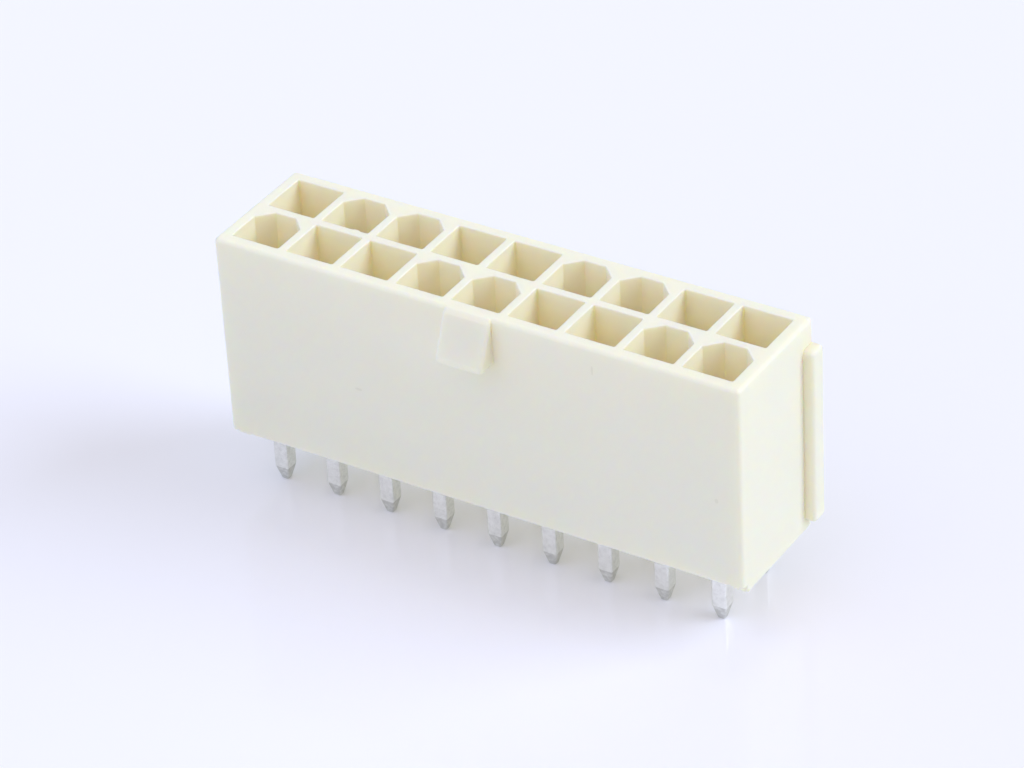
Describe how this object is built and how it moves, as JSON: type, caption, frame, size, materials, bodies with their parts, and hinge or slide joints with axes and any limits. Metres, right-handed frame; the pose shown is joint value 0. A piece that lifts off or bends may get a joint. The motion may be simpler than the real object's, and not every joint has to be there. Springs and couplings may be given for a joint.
{
  "type": "socket header",
  "caption": "Dual-row vertical circuit-board power header: cream nylon housing with keyed pockets, a latch ramp, end ribs and jogged square terminals.",
  "frame": {"origin": "on the circuit board's surface under the foot rails, midway between the rows and between the ends", "axes": "+X along the rows, -Y towards the latch ramp, +Z out of the board towards the plug"},
  "size_m": [0.0406, 0.0111, 0.0193],
  "materials": {
    "nylon": "fine satin as moulded",
    "tin": "satin tin plate over brass"
  },
  "bodies": {
    "root": {"housing": "nylon", "terminal_front_1": "tin", "terminal_front_2": "tin", "terminal_front_3": "tin", "terminal_front_4": "tin", "terminal_front_5": "tin", "terminal_front_6": "tin", "terminal_front_7": "tin", "terminal_front_8": "tin", "terminal_front_9": "tin", "terminal_back_1": "tin", "terminal_back_2": "tin", "terminal_back_3": "tin", "terminal_back_4": "tin", "terminal_back_5": "tin", "terminal_back_6": "tin", "terminal_back_7": "tin", "terminal_back_8": "tin", "terminal_back_9": "tin"}
  },
  "joints": []
}
